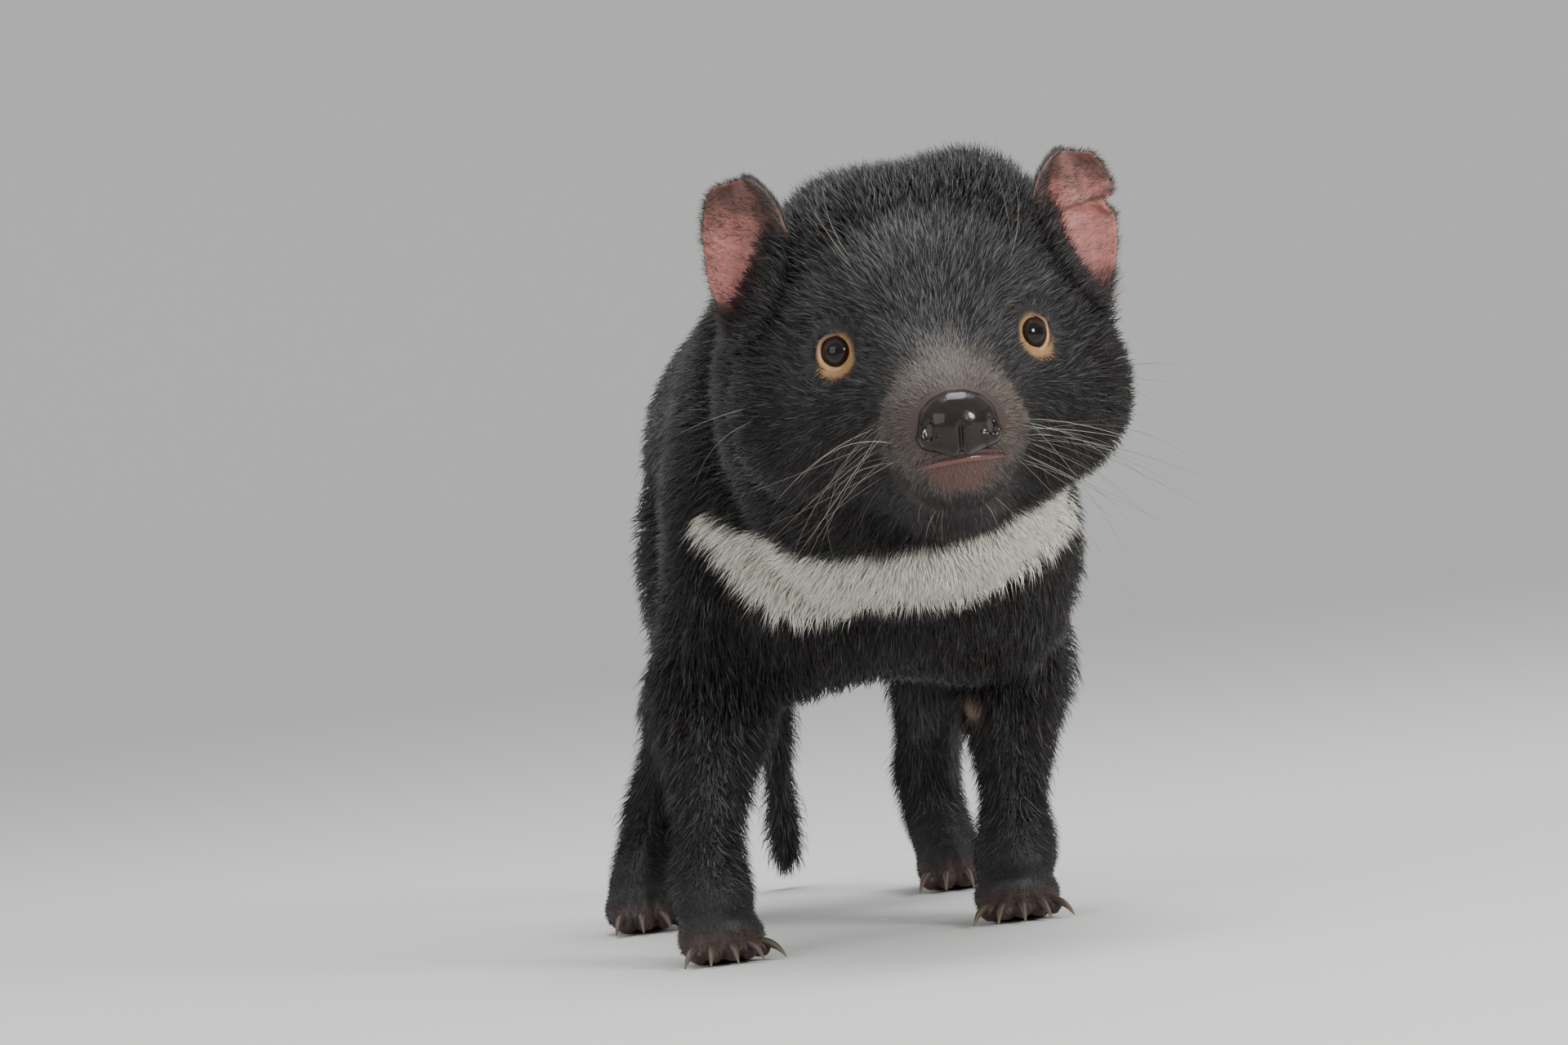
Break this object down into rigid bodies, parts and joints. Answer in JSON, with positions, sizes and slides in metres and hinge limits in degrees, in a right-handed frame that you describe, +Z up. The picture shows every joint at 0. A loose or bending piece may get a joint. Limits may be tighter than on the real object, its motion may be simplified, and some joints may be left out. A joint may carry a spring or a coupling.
{
  "type": "tasmanian devil",
  "caption": "Young Tasmanian devil standing on all fours with its head turned to the viewer, ears up and tail drooping, as a still life-size model.",
  "frame": {"origin": "under the middle of the whole animal, on the floor", "axes": "+Z up, the animal faces -Y and its left side is +X"},
  "size_m": [0.1688, 0.5206, 0.2501],
  "materials": {
    "dark_coat": "dense soft near-black fur with grey-white glints on the tips",
    "face_coat": "short dense black fur, grey-brown round the muzzle",
    "white_coat": "creamy white fur with a ragged lower edge",
    "ear_skin": "thin pink skin with sparse short hairs, satin",
    "nose_skin": "moist pebbled dark brown skin, glossy",
    "lip_skin": "pinkish brown skin with short pale hairs",
    "eye": "moist glossy near-black eye",
    "claw_horn": "worn grey-brown horn, satin",
    "paw_skin": "dark bare skin with short hairs, pinkish between the toes"
  },
  "bodies": {
    "root": {"head": "face_coat", "lower_jaw": "lip_skin", "nose": "nose_skin", "eye_right": "eye", "ear_right": "ear_skin", "eye_left": "eye", "ear_left": "ear_skin", "neck": "dark_coat", "torso": "dark_coat", "upper_foreleg_right": "dark_coat", "forearm_right": "dark_coat", "forepaw_right": "paw_skin", "foreclaw_right_1": "claw_horn", "foreclaw_right_2": "claw_horn", "foreclaw_right_3": "claw_horn", "foreclaw_right_4": "claw_horn", "foreclaw_right_5": "claw_horn", "upper_foreleg_left": "dark_coat", "forearm_left": "dark_coat", "forepaw_left": "paw_skin", "foreclaw_left_1": "claw_horn", "foreclaw_left_2": "claw_horn", "foreclaw_left_3": "claw_horn", "foreclaw_left_4": "claw_horn", "foreclaw_left_5": "claw_horn", "chest_blaze": "white_coat", "thigh_right": "dark_coat", "shank_right": "dark_coat", "hindpaw_right": "paw_skin", "hindclaw_right_1": "claw_horn", "hindclaw_right_2": "claw_horn", "hindclaw_right_3": "claw_horn", "hindclaw_right_4": "claw_horn", "thigh_left": "dark_coat", "shank_left": "dark_coat", "hindpaw_left": "paw_skin", "hindclaw_left_1": "claw_horn", "hindclaw_left_2": "claw_horn", "hindclaw_left_3": "claw_horn", "hindclaw_left_4": "claw_horn", "tail": "dark_coat"}
  },
  "joints": []
}
